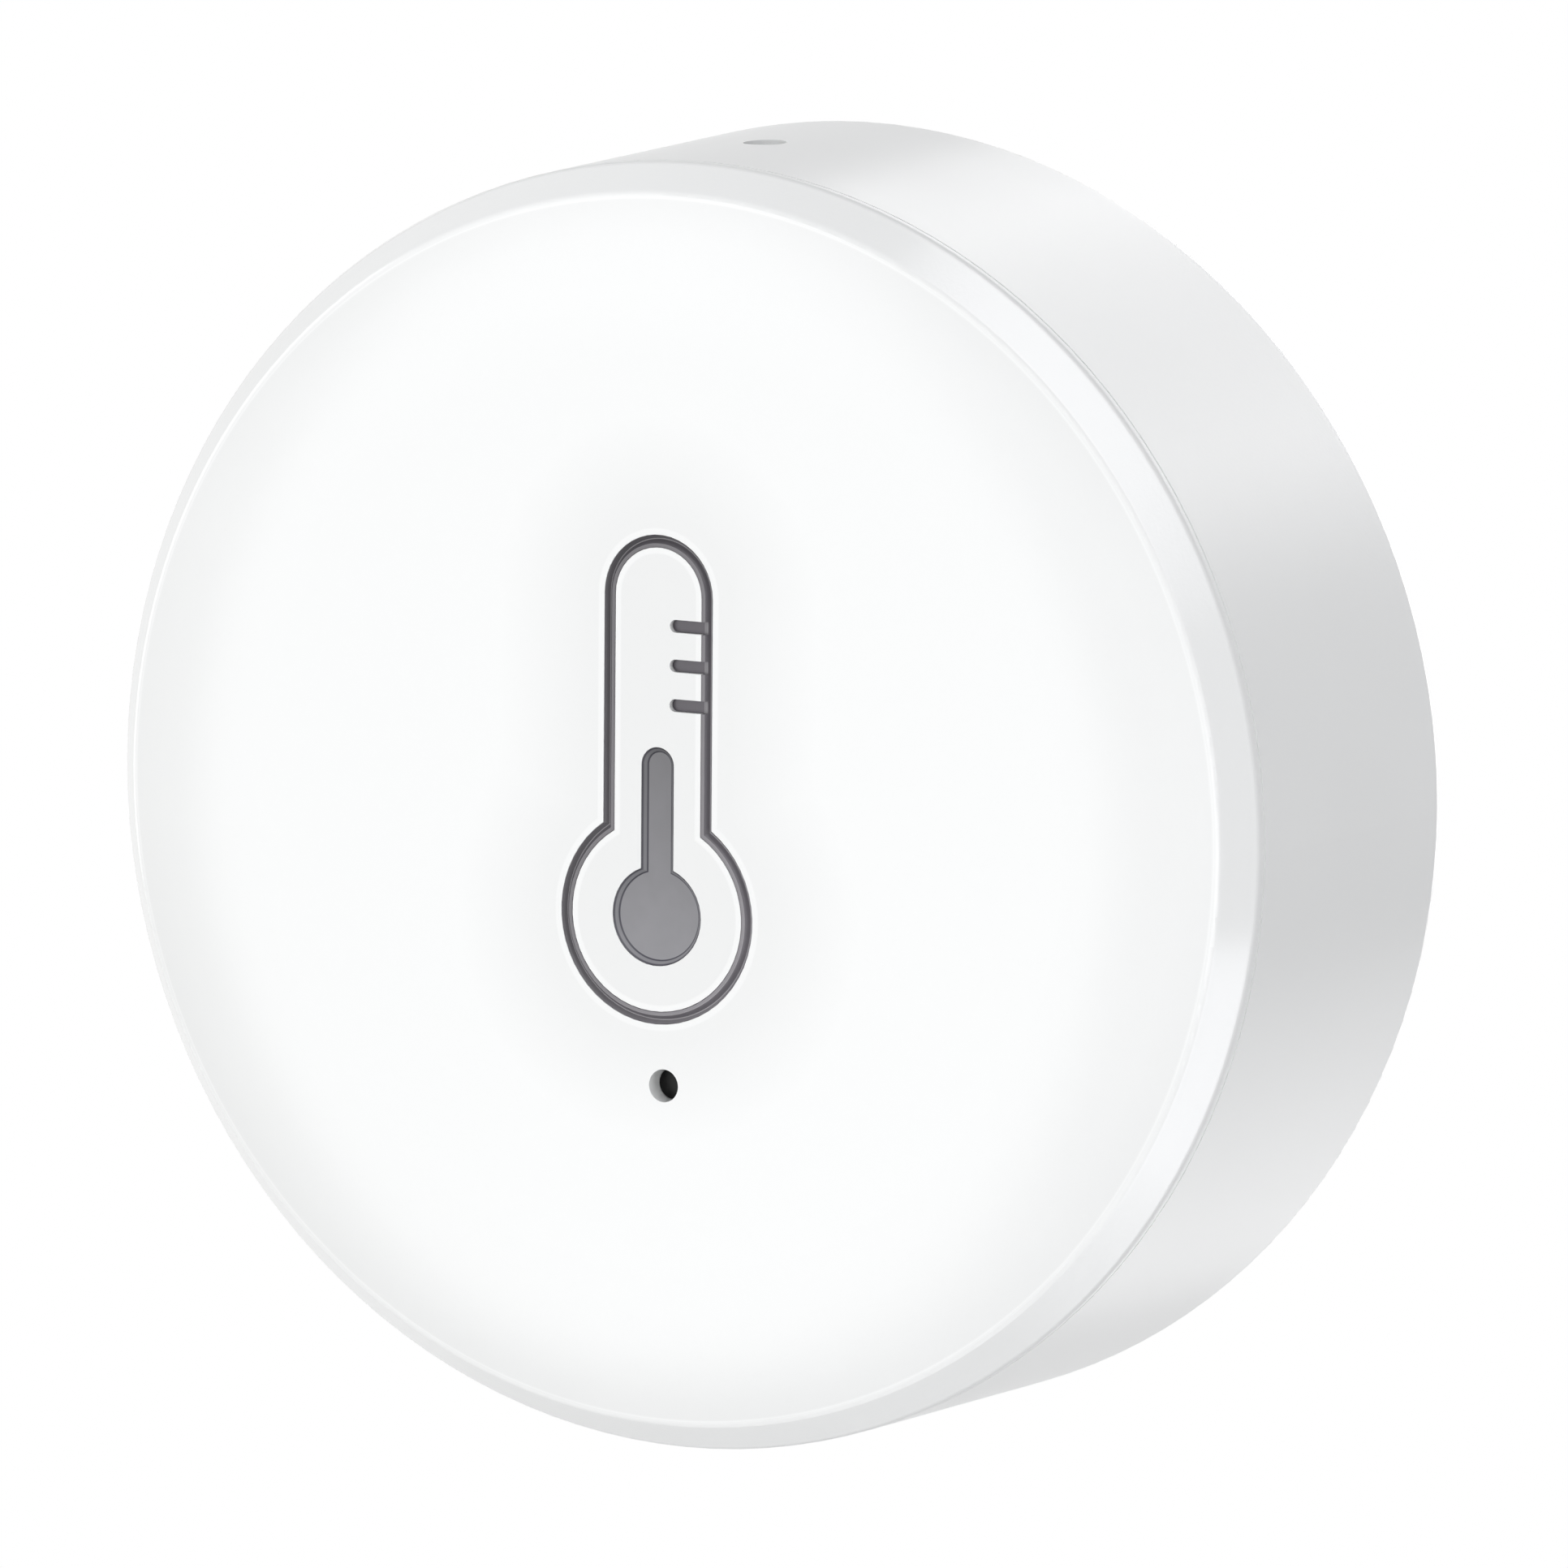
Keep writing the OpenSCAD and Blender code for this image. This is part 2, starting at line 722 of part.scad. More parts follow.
module wall_plate() {
  color(plastic)
    upright()
      difference() {
        union() {
          translate([0, 0, pad_t]) cylinder(r = plate_r, h = plate_t);
          for (side = [finger_at, 180 - finger_at, 180 + finger_at, -finger_at])
            rotate([0, 0, side]) finger();
        }
        for (side = [-1, 1])
          translate([0, side * hole_pitch / 2, pad_t - cut]) cylinder(d = hole_d, h = plate_t + 2 * cut);
      }
}

module adhesive_pad() {
  color(foam) upright() cylinder(d = pad_d, h = pad_t);
}

// The space of both cells, wider than them by a gap all round
module cell_space_cut(gap) {
  for (side = [-1, 1])
    translate([-bay_half, side * cell_y, cell_z]) along_x() cylinder(r = cell_r + gap, h = 2 * bay_half);
}

module bay_wall_box(half_w, half_h, depth) {
  translate([0, 0, deck_z - depth]) slab([2 * half_w, 2 * half_h, depth + join]);
}

module bay_walls() {
  difference() {
    bay_wall_box(bay_half + bay_wall, bay_half_h + bay_wall, bay_depth);
    translate([0, 0, -join]) bay_wall_box(bay_half, bay_half_h, bay_depth + cut);
    translate([0, 0, deck_z - bay_depth - cut])
      slab([2 * contact_x, 2 * (bay_half_h + bay_wall + cut), bay_depth - bay_side_depth + cut]);
  }
}

// Ribs at one end of the bay, beside the contact plates
module contact_rib(end, from, to) {
  depth = contact_len + fit_gap;
  translate([end * (bay_half - rib_t / 2), (from + to) / 2, deck_z - depth])
    slab([rib_t + join, to - from, depth + join]);
}

module contact_ribs() {
  inner = cell_y - contact_w / 2 - fit_gap;
  outer = cell_y + contact_w / 2 + fit_gap;
  contact_rib(-1, -inner, inner);
  for (end = [-1, 1]) {
    contact_rib(end, outer, bay_half_h + join);
    contact_rib(end, -bay_half_h - join, -outer);
  }
}

module saddles() {
  difference() {
    for (side = [-1, 1])
      translate([side * saddle_x, 0, deck_z - saddle_h])
        slab([saddle_w, 2 * bay_half_h + join, saddle_h + join]);
    cell_space_cut(cell_gap);
  }
}

// Slots for the solder tabs, through the deck or the board
module tab_slots(z, thickness) {
  for (side = [-1, 1])
    translate([-tab_x, side * cell_y, z - cut])
      slab([sheet_t + 2 * fit_gap, tab_w + 2 * fit_gap, thickness + 2 * cut]);
}

module chassis() {
  switch_room = switch_h + 2 * lid_t + 2 * cut;
  color(inner_plastic)
    upright()
      difference() {
        union() {
          translate([0, 0, deck_z]) cylinder(r = deck_r, h = deck_t);
          intersection() {
            union() {
              bay_walls();
              contact_ribs();
            }
            cylinder(r = bay_r, h = deck_front);
          }
          saddles();
          for (at = posts)
            translate([at[0], at[1], deck_z - post_len])
              cylinder(d = post_d, h = post_len + deck_t + pad_rise);
        }
        for (at = posts)
          translate([at[0], at[1], board_z - screw_len])
            cylinder(d = pilot_d, h = screw_len + cut);
        translate([reset_x, switch_y - lid_t - cut + switch_room / 2, deck_z - cut])
          slab([2 * (bracket_x + foot_w + cut), switch_room, deck_t + 2 * cut]);
        translate([0, sense_y, deck_z - cut])
          slab([2 * window_w, window_h, deck_t + 2 * cut]);
        tab_slots(deck_z, deck_t);
      }
}

module main_board() {
  tongue_y = sense_y + tongue_len;
  slot_len = tongue_y + board_r + cut;
  color(board_green)
    upright()
      difference() {
        translate([0, 0, board_z]) cylinder(r = board_r, h = board_t);
        for (at = posts)
          translate([at[0], at[1], board_z - cut]) cylinder(d = pilot_d, h = board_t + 2 * cut);
        tab_slots(board_z, board_t);
        for (side = [-1, 1])
          translate([side * tongue_w, tongue_y - slot_len / 2, board_z - cut])
            slab([tongue_slot, slot_len, board_t + 2 * cut]);
        translate([0, tongue_y, board_z - cut])
          slab([2 * tongue_w - 4 * tongue_slot, tongue_slot, board_t + 2 * cut]);
      }
}

module board_screw() {
  difference() {
    union() {
      translate([0, 0, board_front]) cylinder(d = head_d, h = head_h);
      translate([0, 0, board_z - screw_len + fit_gap])
        cylinder(d = screw_d, h = screw_len - fit_gap + board_t + join);
    }
    translate([0, 0, board_front + head_h - cross_depth]) slab([cross_w, cross_len, cross_depth + cut]);
    translate([0, 0, board_front + head_h - cross_depth]) slab([cross_len, cross_w, cross_depth + cut]);
  }
}

module board_screws() {
  color(sheet_metal)
    upright()
      for (at = posts)
        translate([at[0], at[1], 0]) board_screw();
}

module radio_board() {
  pads = floor(radio_h / radio_pitch) - 2;
  color(board_green)
    upright()
      translate([0, radio_y, board_front])
        difference() {
          slab([radio_w, radio_h, radio_t]);
          for (side = [-1, 1])
            for (i = [0 : pads])
              translate([side * radio_w / 2, (i - pads / 2) * radio_pitch, -cut])
                cylinder(d = radio_pad_d, h = radio_t + 2 * cut);
        }
}

module radio_shield() {
  foot_y = radio_y - radio_h / 2 + shield_in;
  color(sheet_metal)
    upright()
      translate([0, foot_y + shield_h / 2, board_front + radio_t])
        difference() {
          slab([shield_w, shield_h, shield_depth]);
          translate([0, 0, -shield_t])
            slab([shield_w - 2 * shield_t, shield_h - 2 * shield_t, shield_depth]);
        }
}

module control_chip() {
  dot = chip_w / 2 - chip_dot_in;
  color(chip_black)
    upright()
      translate([chip_x, chip_y, board_front])
        difference() {
          slab([chip_w, chip_w, chip_t]);
          translate([-dot, dot, chip_t - chip_dot_depth])
            cylinder(d = chip_dot_d, h = chip_dot_depth + cut);
        }
}

module crystal() {
  color(sheet_metal)
    upright()
      translate([chip_x, chip_y - chip_w / 2 - crystal_drop - crystal_h / 2, board_front])
        slab([crystal_w, crystal_h, crystal_t]);
}

module chip_parts() {
  color(part_tan)
    upright() {
      for (i = [0 : small_count - 1])
        translate([small_x + i * small_pitch, small_y, board_front])
          slab([small_w, small_h, small_t]);
      for (i = [0 : large_count - 1])
        translate([large_x, large_y - i * large_pitch, board_front])
          slab([large_w, large_h, large_t]);
    }
}

module humidity_sensor() {
  color(sensor_white)
    upright()
      translate([0, sense_y, board_z - sense_t])
        difference() {
          slab([sense_w, sense_w, sense_t]);
          translate([0, 0, -cut]) cylinder(d = sense_d, h = sense_depth + cut);
        }
}

module status_led() {
  color(lens_clear)
    upright()
      translate([light_x, light_y, board_front]) {
        slab([led_w, led_h, led_t]);
        slab([lens_w, led_h, led_t + lens_h]);
      }
}

// Places a shape on the reset switch's axis, at a height on the body
module on_switch(height) {
  translate([reset_x, height, reset_z]) along_y() children();
}

module switch_body() {
  color(chip_black)
    upright()
      difference() {
        on_switch(switch_y) slab([switch_w, switch_w, switch_h]);
        on_switch(cavity_y) cylinder(d = cavity_d, h = switch_top - cavity_y + cut);
      }
}

module switch_cover() {
  color(sheet_metal)
    upright()
      difference() {
        on_switch(switch_top) slab([switch_w, switch_w, lid_t]);
        on_switch(switch_top - cut) cylinder(d = stem_d + 2 * press_gap, h = lid_t + 2 * cut);
      }
}

module switch_plunger() {
  color(smoked)
    upright() {
      on_switch(collar_y) cylinder(d = cavity_d - 2 * press_gap, h = collar_t);
      on_switch(collar_y) cylinder(d = stem_d, h = stem_tip_y - collar_y);
    }
}

module switch_dome() {
  color(sheet_metal)
    upright()
      on_switch(cavity_y)
        difference() {
          intersection() {
            translate([0, 0, dome_h - dome_r]) sphere(r = dome_r);
            cylinder(d = dome_d + cut, h = dome_h + cut);
          }
          translate([0, 0, dome_h - dome_r]) sphere(r = dome_r - dome_t);
        }
}

module switch_bracket() {
  cheek_depth = switch_rise + switch_w / 2 - cut;
  cheek_y = switch_y - lid_t + cheek_h / 2;
  color(sheet_metal)
    upright() {
      for (side = [-1, 1]) {
        translate([reset_x + side * (bracket_x + lid_t / 2), cheek_y, board_z - cheek_depth])
          slab([lid_t, cheek_h, cheek_depth]);
        translate([reset_x + side * (bracket_x + foot_w / 2), cheek_y, board_z - lid_t])
          slab([foot_w, cheek_h, lid_t]);
      }
      translate([reset_x, switch_y - lid_t / 2, board_z - cheek_depth])
        slab([2 * (bracket_x + lid_t), lid_t, cheek_depth]);
    }
}

// A cell that lies along x, with its pip at the far end
module cell() {
  shell_len = cell_len - pip_h;
  color(cell_coat)
    along_x() {
      rotate_extrude()
        polygon([
          [0, 0],
          [cell_r - cell_bevel, 0],
          [cell_r, cell_bevel],
          [cell_r, shell_len - cell_bevel],
          [cell_r - cell_bevel, shell_len],
          [0, shell_len]
        ]);
      cylinder(d = pip_d, h = cell_len);
    }
}

module upper_cell() {
  upright() translate([cell_foot_x, cell_y, cell_z]) cell();
}

module lower_cell() {
  upright() mirror([1, 0, 0]) translate([cell_foot_x, -cell_y, cell_z]) cell();
}

// A contact plate at the end x = bay_half of the bay
module contact_plate(from, to) {
  translate([contact_x + sheet_t / 2, (from + to) / 2, contact_rear])
    slab([sheet_t, to - from, contact_len]);
}

module contact_dimple(height) {
  translate([pip_x, height, cell_z])
    along_x() cylinder(d1 = dimple_top_d, d2 = dimple_d, h = dimple_h);
}

// A tab that turns in from the plate's end and passes through deck and board
module solder_tab(height) {
  foot_z = contact_rear + contact_len - sheet_t;
  foot_len = tab_in + sheet_t;
  translate([bay_half - foot_len / 2, height, foot_z]) slab([foot_len, tab_w, sheet_t]);
  translate([tab_x, height, foot_z])
    slab([sheet_t, tab_w, board_front + tab_out - foot_z]);
}

module positive_contact() {
  color(sheet_metal)
    upright()
      mirror([1, 0, 0]) {
        contact_plate(-cell_y - contact_w / 2, -cell_y + contact_w / 2);
        contact_dimple(-cell_y);
        solder_tab(-cell_y);
      }
}

module negative_contact() {
  color(sheet_metal)
    upright()
      mirror([1, 0, 0]) {
        contact_plate(cell_y - contact_w / 2, cell_y + contact_w / 2);
        solder_tab(cell_y);
      }
}

module bridge_contact() {
  color(sheet_metal)
    upright() {
      contact_plate(-cell_y - contact_w / 2, cell_y + contact_w / 2);
      contact_dimple(cell_y);
    }
}

// Middle line of a coil that narrows from the plate to the cell
coil_steps = coil_turns * coil_rings;
function coil_point(i) =
  let (
    part = i / coil_steps,
    turn = 360 * coil_turns * part,
    radius = (coil_d + (coil_top_d - coil_d) * part) / 2
  )
  [radius * cos(turn), radius * sin(turn), wire_d / 2 + (spring_len - wire_d) * part];

function unit(v) = v / norm(v);

// Ring of wire corners around one point of the coil
function coil_ring(i) =
  let (
    point = coil_point(i),
    ahead = unit(coil_point(i + 1) - coil_point(i - 1)),
    side = unit(cross(ahead, [0, 0, 1])),
    over = cross(side, ahead)
  )
  [
    for (k = [0 : wire_sides - 1])
      point + wire_d / 2 * (cos(360 * k / wire_sides) * side + sin(360 * k / wire_sides) * over)
  ];

// Least gap between a coil's turns
coil_gap = min([
  for (i = [0 : coil_steps])
    for (j = [i + coil_rings / 2 : coil_steps]) norm(coil_point(i) - coil_point(j))
]) - wire_d;
echo(coil_gap = coil_gap);

module coil() {
  last = coil_steps * wire_sides;
  corners = [
    for (i = [0 : coil_steps])
      for (corner = coil_ring(i)) corner
  ];
  sides = [
    for (i = [0 : coil_steps - 1])
      for (k = [0 : wire_sides - 1])
        let (
          a = i * wire_sides + k,
          b = i * wire_sides + (k + 1) % wire_sides
        )
        each [[a, b, a + wire_sides], [b, b + wire_sides, a + wire_sides]]
  ];
  start = [for (k = [wire_sides - 1 : -1 : 0]) k];
  end = [for (k = [0 : wire_sides - 1]) last + k];
  polyhedron(points = corners, faces = concat(sides, [start], [end]));
}

module contact_spring(height) {
  translate([contact_x, height, cell_z]) rotate([0, -90, 0]) coil();
}

module negative_spring() {
  color(sheet_metal) upright() mirror([1, 0, 0]) contact_spring(cell_y);
}

module bridge_spring() {
  color(sheet_metal) upright() contact_spring(-cell_y);
}

front_cover();
icon_outline();
icon_fluid();
light_pipe();
housing();
wall_plate();
adhesive_pad();
chassis();
main_board();
board_screws();
radio_board();
radio_shield();
control_chip();
crystal();
chip_parts();
humidity_sensor();
status_led();
switch_body();
switch_bracket();
switch_cover();
switch_dome();
switch_plunger();
upper_cell();
lower_cell();
positive_contact();
negative_contact();
negative_spring();
bridge_contact();
bridge_spring();
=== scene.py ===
import json
import math

import bmesh
import bpy
from mathutils import Matrix, Quaternion, Vector


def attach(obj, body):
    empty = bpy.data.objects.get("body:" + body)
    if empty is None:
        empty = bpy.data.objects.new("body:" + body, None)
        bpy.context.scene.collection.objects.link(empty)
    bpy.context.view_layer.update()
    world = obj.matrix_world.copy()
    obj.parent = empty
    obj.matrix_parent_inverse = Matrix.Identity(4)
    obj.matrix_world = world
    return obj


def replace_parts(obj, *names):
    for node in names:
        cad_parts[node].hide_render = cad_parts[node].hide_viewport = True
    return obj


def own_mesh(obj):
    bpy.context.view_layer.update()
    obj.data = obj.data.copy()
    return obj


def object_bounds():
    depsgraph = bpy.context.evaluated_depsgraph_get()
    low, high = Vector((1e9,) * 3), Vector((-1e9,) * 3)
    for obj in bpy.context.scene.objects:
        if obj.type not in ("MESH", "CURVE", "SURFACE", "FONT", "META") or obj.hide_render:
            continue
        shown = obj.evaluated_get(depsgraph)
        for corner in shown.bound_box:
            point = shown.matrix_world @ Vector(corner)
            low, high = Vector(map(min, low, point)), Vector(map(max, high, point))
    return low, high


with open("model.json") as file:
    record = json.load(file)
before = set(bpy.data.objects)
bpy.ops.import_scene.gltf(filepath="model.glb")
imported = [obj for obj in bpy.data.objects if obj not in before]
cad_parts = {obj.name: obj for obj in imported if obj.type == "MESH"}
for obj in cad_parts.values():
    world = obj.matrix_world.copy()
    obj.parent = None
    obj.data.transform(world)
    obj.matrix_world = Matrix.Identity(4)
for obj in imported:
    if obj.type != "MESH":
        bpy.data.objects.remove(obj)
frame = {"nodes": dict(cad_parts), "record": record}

# Round wall sensor for the temperature and humidity of the air: looks, light and camera.
# The frame is in metres: the wall is the plane y = 0, the face looks along -Y and +Z is up.

MM = 0.001
cad_low, cad_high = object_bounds()
nodes = frame["nodes"]
scene = bpy.context.scene
scene.view_settings.view_transform = "Standard"
for plain in list(bpy.data.materials):
    bpy.data.materials.remove(plain)

# Sizes that pieces made here share with the part's source, in millimetres
CELL_LEN = 44.5
CELL_Y = 5.6
CELL_Z = 8.2
CELL_FOOT_X = -20.8
CONTACT_X = 24.6
WIRE_D = 0.6
COIL_D = 6.2
COIL_TOP_D = 3.4
COIL_TURNS = 3
SPRING_LEN = 3.8
PAD_R = 16.5
PAD_T = 0.8
RESET_X = -0.85
RESET_Z = 10.7
DOME_Y = 24.63
DOME_D = 4.6
DOME_H = 0.5
DOME_T = 0.12
BULB_Y = -5.15
OUTLINE_BULB_R = 5.475
OUTLINE_TUBE_R = 3.1
OUTLINE_TOP = 11.0
FLUID_BULB_R = 2.53
FLUID_STEM_R = 0.93
FLUID_TOP = 2.45

# Grey of the shell's colour by distance from the dark outline, in millimetres, all painted light:
# painted shade inside the outline, a painted highlight on the lip along it, and painted shade
# round it that fades out further away
INLAY_SHADE_AND_LIP_HIGHLIGHT = (
    (-1.2, 0.9),
    (-1.0, 0.9),
    (-0.9, 0.973),
    (0.28, 0.973),
    (0.36, 0.92),
    (1.0, 0.92),
    (6.0, 1.0),
)
# Grey of the shell's colour and share of its roughness, by radius in millimetres: face, edge line,
# band, rim and side. The grey is painted light: the face's outer part a little lighter and then
# painted shade towards its edge, a painted highlight on the edge line and on the rim, and the band
# painted lighter.
RING_SHADE_AND_HIGHLIGHT = (
    (23.5, 0.934),
    (26.5, 0.944),
    (29.0, 0.942),
    (30.3, 0.928),
    (30.76, 0.922),
    (30.86, 0.99),
    (31.2, 0.99),
    (31.28, 0.98),
    (32.2, 0.98),
    (32.32, 0.985),
    (32.44, 0.934),
)
BAND_ROUGH = ((30.85, 1.0), (31.02, 0.55), (32.3, 0.55), (32.44, 1.0))


# ---- materials


def add(tree, kind, inputs=None, **settings):
    """A node with its settings, and its inputs as values or links."""
    made = tree.nodes.new(kind)
    for key, value in settings.items():
        setattr(made, key, value)
    for key, value in (inputs or {}).items():
        if isinstance(value, bpy.types.NodeSocket):
            tree.links.new(value, made.inputs[key])
        else:
            made.inputs[key].default_value = value
    return made


def place(tree, stretch=(1, 1, 1)):
    """Coordinates in the frame, stretched along its axes."""
    where = add(tree, "ShaderNodeTexCoord").outputs["Object"]
    return add(tree, "ShaderNodeMapping", {"Vector": where, "Scale": stretch}).outputs[0]


def noise(tree, size_mm, detail=2, stretch=(1, 1, 1)):
    """Noise from 0 to 1 with spots of about size_mm."""
    made = add(
        tree,
        "ShaderNodeTexNoise",
        {"Vector": place(tree, stretch), "Scale": 1 / (size_mm * MM), "Detail": detail},
    )
    return made.outputs["Fac"]


def ramp(tree, factor, stops, interpolation="LINEAR"):
    """Colour along a factor, from (position, colour) stops."""
    made = add(tree, "ShaderNodeValToRGB", {"Fac": factor})
    band = made.color_ramp
    band.interpolation = interpolation
    while len(band.elements) < len(stops):
        band.elements.new(1)
    for element, (position, colour) in zip(band.elements, stops):
        element.position = position
        element.color = (*colour, 1)
    return made.outputs["Color"]


def spread(tree, factor, low, high, first=0.0, last=1.0):
    """A factor from first to last, spread from low to high."""
    made = add(
        tree,
        "ShaderNodeMapRange",
        {"Value": factor, "From Min": first, "From Max": last, "To Min": low, "To Max": high},
    )
    return made.outputs["Result"]


def math_node(tree, operation, a, b=0.0):
    made = add(tree, "ShaderNodeMath", {0: a, 1: b}, operation=operation)
    return made.outputs[0]


def bump(tree, height, depth_mm):
    made = add(tree, "ShaderNodeBump", {"Height": height, "Distance": depth_mm * MM})
    return made.outputs["Normal"]


def mix(tree, factor, a, b):
    made = add(tree, "ShaderNodeMix", data_type="RGBA")
    for socket, value in ((made.inputs[0], factor), (made.inputs[6], a), (made.inputs[7], b)):
        if isinstance(value, bpy.types.NodeSocket):
            tree.links.new(value, socket)
        elif isinstance(value, tuple):
            socket.default_value = (*value, 1)
        else:
            socket.default_value = value
    return made.outputs[2]


def material(name, **sockets):
    """A principled material; sockets hold the values that are the same all over it."""
    made = bpy.data.materials.new(name)
    made.use_nodes = True
    shader = made.node_tree.nodes["Principled BSDF"]
    for key, value in sockets.items():
        shader.inputs[key.replace("_", " ")].default_value = value
    return made, made.node_tree, shader


def wire(tree, shader, **links):
    for key, value in links.items():
        tree.links.new(value, shader.inputs[key.replace("_", " ")])


def grey(value, tint=(0, 0, 0)):
    return tuple(value + t for t in tint)


def moulded(
    name, low, high, rough, patch_mm=9, grain_mm=0.18, depth_mm=0.004, wander=0.03, **sockets
):
    """Moulded plastic: faint clouds of colour and gloss, and a fine grain."""
    made, tree, shader = material(name, **sockets)
    clouds = noise(tree, patch_mm, detail=1)
    grain = noise(tree, grain_mm, detail=2)
    wire(
        tree,
        shader,
        Base_Color=ramp(tree, clouds, [(0.0, low), (1.0, high)]),
        Roughness=spread(tree, clouds, rough - wander, rough + wander),
        Normal=bump(tree, grain, depth_mm),
    )
    return made


def shape_distance(tree, bulb_r, tube_r, tube_top):
    """Distance outside the thermometer's outline of a bulb and a tube, in metres."""
    where = add(tree, "ShaderNodeSeparateXYZ", {0: place(tree)}).outputs
    flat = add(tree, "ShaderNodeCombineXYZ", {"X": where["X"], "Z": where["Z"]}).outputs[0]
    low, high = BULB_Y * MM, tube_top * MM
    level = math_node(tree, "MINIMUM", math_node(tree, "MAXIMUM", where["Z"], low), high)
    axis = add(tree, "ShaderNodeCombineXYZ", {"Z": level}).outputs[0]
    sides = []
    for centre, radius in (((0, 0, low), bulb_r), (axis, tube_r)):
        away = add(tree, "ShaderNodeVectorMath", {0: flat, 1: centre}, operation="DISTANCE")
        sides.append(math_node(tree, "SUBTRACT", away.outputs["Value"], radius * MM))
    return math_node(tree, "MINIMUM", *sides)


def grey_by(tree, length, stops):
    """A grey that follows a length, from (length in mm, grey) stops."""
    first, last = stops[0][0], stops[-1][0]
    reach = spread(tree, length, 0.0, 1.0, first * MM, last * MM)
    return ramp(tree, reach, [((at - first) / (last - first), grey(value)) for at, value in stops])


def ring_mask(tree, stops):
    """A grey that follows the distance from the object's axis."""
    flat = add(tree, "ShaderNodeVectorMath", {0: place(tree), 1: (1, 0, 1)}, operation="MULTIPLY")
    out = add(tree, "ShaderNodeVectorMath", {0: flat.outputs[0]}, operation="LENGTH")
    return grey_by(tree, out.outputs["Value"], stops)


def times(tree, a, b):
    """Product of two colours."""
    made = add(tree, "ShaderNodeMix", data_type="RGBA", blend_type="MULTIPLY")
    made.inputs[0].default_value = 1
    tree.links.new(a, made.inputs[6])
    tree.links.new(b, made.inputs[7])
    return made.outputs[2]


def shell(name, low, high, rough):
    """The white shell's plastic: dull, with a polished band, and painted highlights on the edges
    on both sides of it; the band is painted lighter and the face's edge gets painted shade.

    It has painted shade in and round the dark inlay, with a painted highlight on a lip along the
    inlay's edge.
    """
    made = moulded(name, low, high, rough)
    tree = made.node_tree
    shader = tree.nodes["Principled BSDF"]
    plain = shader.inputs["Base Color"].links[0].from_socket
    gloss = shader.inputs["Roughness"].links[0].from_socket
    away = shape_distance(tree, OUTLINE_BULB_R, OUTLINE_TUBE_R, OUTLINE_TOP)
    # painted light: painted shade and highlights by radius, and round the inlay
    painted_light = times(tree, ring_mask(tree, RING_SHADE_AND_HIGHLIGHT), grey_by(tree, away, INLAY_SHADE_AND_LIP_HIGHLIGHT))
    wire(
        tree,
        shader,
        Base_Color=times(tree, plain, painted_light),
        Roughness=math_node(tree, "MULTIPLY", gloss, ring_mask(tree, BAND_ROUGH)),
    )
    return made


def inlay(
    name,
    outline,
    reach_mm,
    stops,
    rough,
    tint,
    painted_light_slope,
    patch_mm=1.4,
    grain_mm=0.1,
    depth_mm=0.003,
    wander=0.04,
):
    """Inlay plastic with painted shade lines and painted highlight lines along its edges and
    bevels.

    The argument after tint is painted light: the brightness in the middle of the face, and its
    change per mm to the right and up, so one side is lighter than the other.
    """
    made, tree, shader = material(name)
    away = spread(tree, shape_distance(tree, *outline), 0.0, 1.0, -reach_mm * MM, 0.0)
    # painted shade and highlight lines by distance inside the outline
    lines = ramp(tree, away, [(at, grey(value, tint)) for at, value in stops])
    clouds = noise(tree, patch_mm, detail=2)
    grain = noise(tree, grain_mm, detail=2)
    # painted light: lighter or darker by a straight slope across the face
    middle, right, up = painted_light_slope
    slope = (right / MM, 0, up / MM)
    climb = add(tree, "ShaderNodeVectorMath", {0: place(tree), 1: slope}, operation="DOT_PRODUCT")
    shade = math_node(tree, "ADD", climb.outputs["Value"], middle)
    patchy = ramp(tree, clouds, [(0.2, grey(0.92)), (0.8, grey(1.06))])
    wire(
        tree,
        shader,
        Base_Color=times(tree, times(tree, lines, patchy), shade),
        Roughness=spread(tree, clouds, rough - wander, rough + wander),
        Normal=bump(tree, grain, depth_mm),
    )
    return made


def brushed(
    name, low, high, rough, stretch, patch_mm=2.5, grain_mm=0.12, depth_mm=0.003, wander=0.07
):
    """Sheet or drawn metal with fine lines along one axis."""
    made, tree, shader = material(name, Metallic=1.0)
    lines = noise(tree, grain_mm, detail=3, stretch=stretch)
    clouds = noise(tree, patch_mm, detail=2)
    wire(
        tree,
        shader,
        Base_Color=ramp(tree, clouds, [(0.3, low), (0.7, high)]),
        Roughness=spread(tree, lines, rough - wander, rough + wander, 0.3, 0.7),
        Normal=bump(tree, lines, depth_mm),
    )
    return made


def cells(tree, size_mm, feature, randomness=1.0):
    """Distances in a pattern of cells of about size_mm."""
    made = add(
        tree,
        "ShaderNodeTexVoronoi",
        {"Vector": place(tree), "Scale": 1 / (size_mm * MM), "Randomness": randomness},
        feature=feature,
    )
    return made.outputs["Distance"]


def foam(name, pore_mm=0.35, patch_mm=5, depth_mm=0.04):
    """Closed-cell foam with small open pores."""
    made, tree, shader = material(name)
    pores = cells(tree, pore_mm, "F1")
    clouds = noise(tree, patch_mm, detail=3)
    shade = mix(tree, clouds, (0.72, 0.72, 0.70), (0.80, 0.80, 0.78))
    # painted shade: each pore darker towards its middle
    dark = ramp(tree, pores, [(0.0, (0.55, 0.55, 0.53)), (0.35, (1, 1, 1))])
    wire(
        tree,
        shader,
        Base_Color=times(tree, shade, dark),
        Roughness=spread(tree, pores, 0.8, 0.95),
        Normal=bump(tree, pores, depth_mm),
    )
    return made


